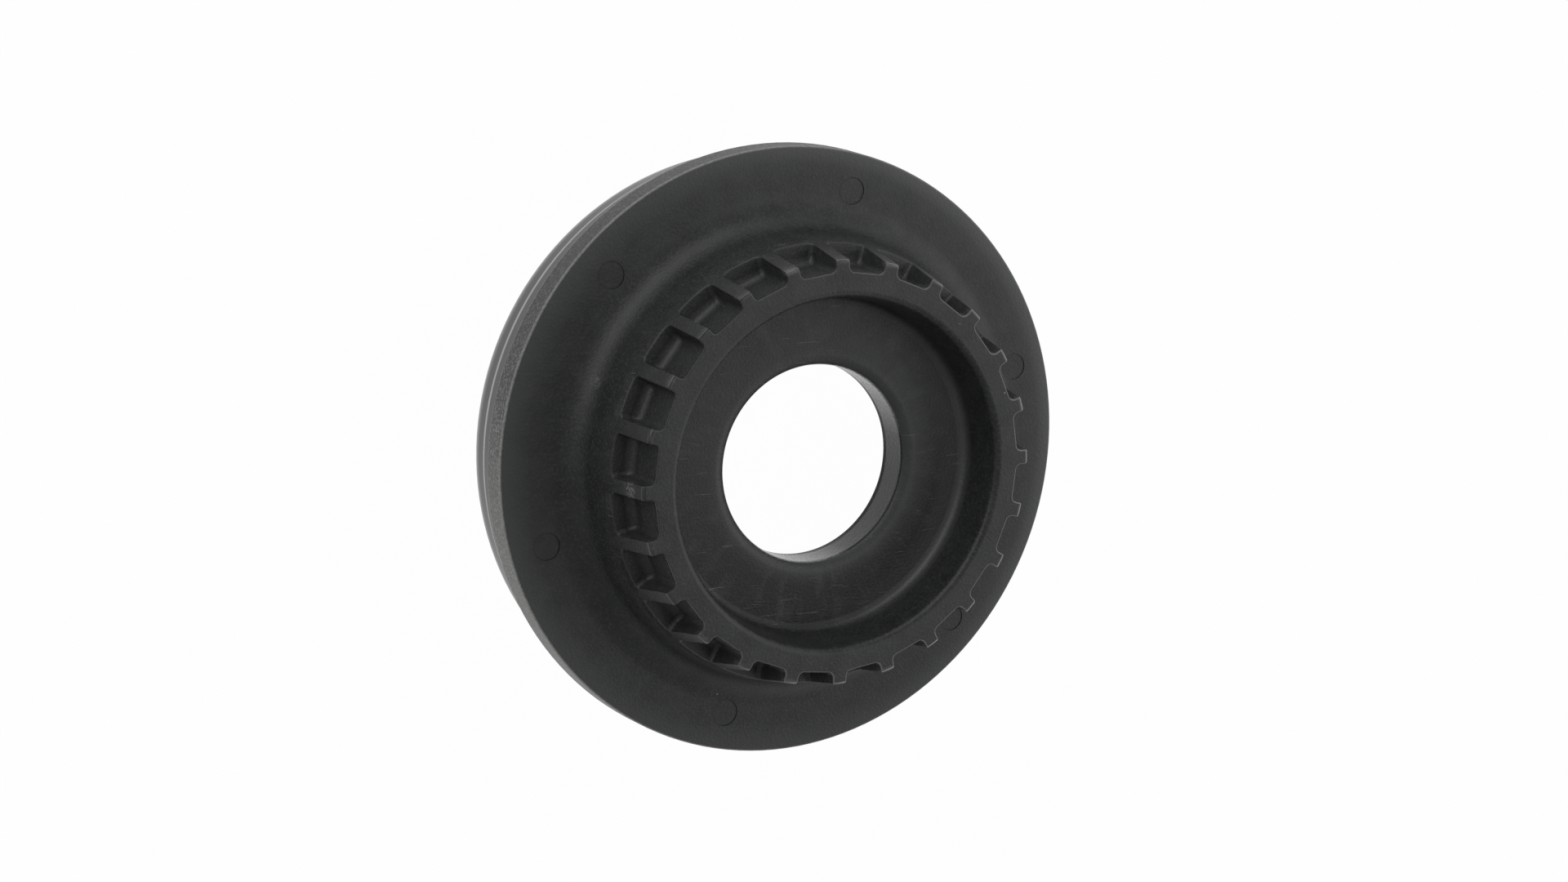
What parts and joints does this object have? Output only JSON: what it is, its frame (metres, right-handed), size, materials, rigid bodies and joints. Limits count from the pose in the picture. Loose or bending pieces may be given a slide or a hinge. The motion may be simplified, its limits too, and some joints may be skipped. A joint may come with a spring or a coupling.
{
  "type": "strut mount",
  "caption": "Round black moulded strut mount: a flanged spring seat with a ribbed hub, a recess and a centre bore turns on an enclosed ball bearing in a moulded cap.",
  "frame": {"origin": "on the bearing axis, in the plane of the upper cap's seat face, which the part lies on", "axes": "+Z along the bearing axis towards the spring side; +X through the middle of a hub rib"},
  "size_m": [0.1256, 0.1256, 0.0512],
  "materials": {
    "black_polyamide": "matte",
    "cage_polyamide": "satin",
    "race_steel": "satin",
    "ball_steel": "polished",
    "seal_rubber": "matte"
  },
  "bodies": {
    "cap": {"upper_cap": "black_polyamide", "upper_race": "race_steel"},
    "seat": {"spring_seat": "black_polyamide", "lower_race": "race_steel", "outer_seal": "seal_rubber", "inner_seal": "seal_rubber"},
    "cage": {"ball_cage": "cage_polyamide", "ball_01": "ball_steel", "ball_02": "ball_steel", "ball_03": "ball_steel", "ball_04": "ball_steel", "ball_05": "ball_steel", "ball_06": "ball_steel", "ball_07": "ball_steel", "ball_08": "ball_steel", "ball_09": "ball_steel", "ball_10": "ball_steel", "ball_11": "ball_steel", "ball_12": "ball_steel", "ball_13": "ball_steel", "ball_14": "ball_steel", "ball_15": "ball_steel", "ball_16": "ball_steel", "ball_17": "ball_steel", "ball_18": "ball_steel", "ball_19": "ball_steel", "ball_20": "ball_steel", "ball_21": "ball_steel", "ball_22": "ball_steel", "ball_23": "ball_steel", "ball_24": "ball_steel", "ball_25": "ball_steel", "ball_26": "ball_steel", "ball_27": "ball_steel", "ball_28": "ball_steel", "ball_29": "ball_steel", "ball_30": "ball_steel", "ball_31": "ball_steel", "ball_32": "ball_steel", "ball_33": "ball_steel", "ball_34": "ball_steel", "ball_35": "ball_steel", "ball_36": "ball_steel"}
  },
  "joints": [
    {"name": "seat_turn", "type": "hinge", "parent": "cap", "child": "seat", "pos_m": [0, 0, 0.00848], "axis": [0, 0, 1], "continuous": true},
    {"name": "cage_turn", "type": "hinge", "parent": "cap", "child": "cage", "pos_m": [0, 0, 0.00848], "axis": [0, 0, 1], "continuous": true}
  ],
  "couplings": [
    {"joint": "cage_turn", "follows": "seat_turn", "ratio": 0.5}
  ]
}
